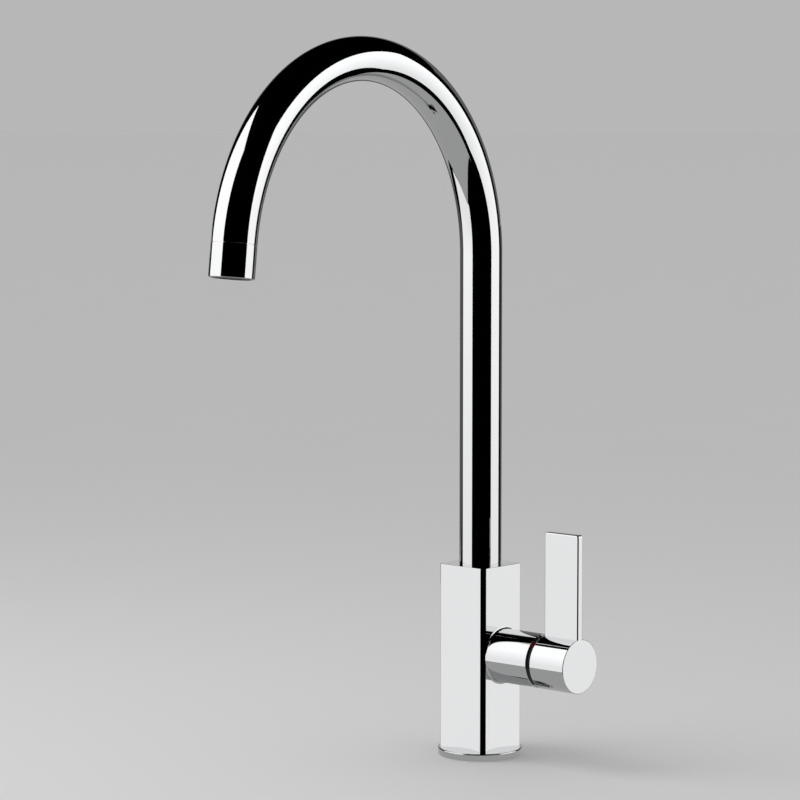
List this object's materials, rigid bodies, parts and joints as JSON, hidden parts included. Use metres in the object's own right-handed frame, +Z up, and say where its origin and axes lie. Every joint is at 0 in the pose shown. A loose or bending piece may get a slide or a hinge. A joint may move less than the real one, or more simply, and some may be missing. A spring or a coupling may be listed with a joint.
{
  "type": "three way filtered water tap",
  "caption": "Deck-mounted kitchen tap with a swivelling arched spout, one side lever for hot, cold and filtered water, and a separate filtered water way.",
  "frame": {"origin": "centre of the base's underside, on the worktop's surface", "axes": "+Z up along the tap's column, -Y to the front over the sink, +X towards the lever's side"},
  "size_m": [0.1038, 0.2668, 0.4859],
  "materials": {
    "polished_chrome": "mirror-polished chrome plating on brass",
    "raw_brass": "machined, unplated",
    "stainless": "machined stainless steel",
    "black_rubber": "moulded, matt",
    "dark_ring": "moulded, dark grey",
    "hot_red": "inlaid enamel-like plastic",
    "cold_blue": "inlaid enamel-like plastic",
    "valve_plastic": "glass-filled, off-white",
    "ceramic": "lapped alumina ceramic",
    "bearing_plastic": "acetal, white",
    "tube_plastic": "translucent food-grade tube",
    "aerator_plastic": "moulded, grey"
  },
  "bodies": {
    "tap": {"base_flange": "polished_chrome", "base_gasket": "black_rubber", "body": "polished_chrome", "valve_housing": "polished_chrome", "cartridge_base": "valve_plastic", "cartridge_seals": "black_rubber", "cartridge_shell": "valve_plastic", "fixed_disc": "ceramic", "cartridge_nut": "raw_brass", "index_ring": "dark_ring", "hot_mark": "hot_red", "cold_mark": "cold_blue", "upper_bush": "bearing_plastic", "lower_bush": "bearing_plastic", "spout_lock_screw": "stainless", "filter_connector": "raw_brass", "shank": "raw_brass"},
    "spout": {"spout_tube": "polished_chrome", "spout_spigot": "raw_brass", "spout_o_rings": "black_rubber", "filtered_water_tube": "tube_plastic", "outlet_collar": "polished_chrome", "collar_seal": "black_rubber", "aerator_body": "aerator_plastic", "aerator_mesh": "stainless", "filtered_nozzle": "aerator_plastic"},
    "guide": {"spindle_guide": "valve_plastic", "stem_pin": "stainless"},
    "lever": {"handle": "polished_chrome", "lever_stem": "stainless", "grub_screw": "stainless", "grub_cap": "dark_ring"},
    "disc": {"disc_carrier": "valve_plastic", "moving_disc": "ceramic"},
    "fixing_set": {"deck_seal": "black_rubber", "deck_washer": "stainless", "shank_nut": "raw_brass"}
  },
  "joints": [
    {"name": "spout_swivel", "type": "hinge", "parent": "tap", "child": "spout", "pos_m": [0, 0, 0.1], "axis": [0, 0, 1], "range_deg": [-105.2, 94.8]},
    {"name": "lever_turn", "type": "hinge", "parent": "tap", "child": "guide", "pos_m": [0.03565, 0, 0.0619], "axis": [1, 0, 0], "range_deg": [-90, 50]},
    {"name": "lever_tilt", "type": "hinge", "parent": "guide", "child": "lever", "pos_m": [0.03565, 0, 0.0619], "axis": [0, 1, 0], "range_deg": [0, 20]},
    {"name": "disc_slide", "type": "slide", "parent": "guide", "child": "disc", "axis": [0, 0, 1], "range_m": [0, 0.00242]},
    {"name": "fixing_travel", "type": "slide", "parent": "tap", "child": "fixing_set", "axis": [0, 0, 1], "range_m": [-0.015, 0.028]}
  ],
  "couplings": [
    {"joint": "disc_slide", "follows": "lever_tilt", "m_per_rad": 0.0069}
  ]
}
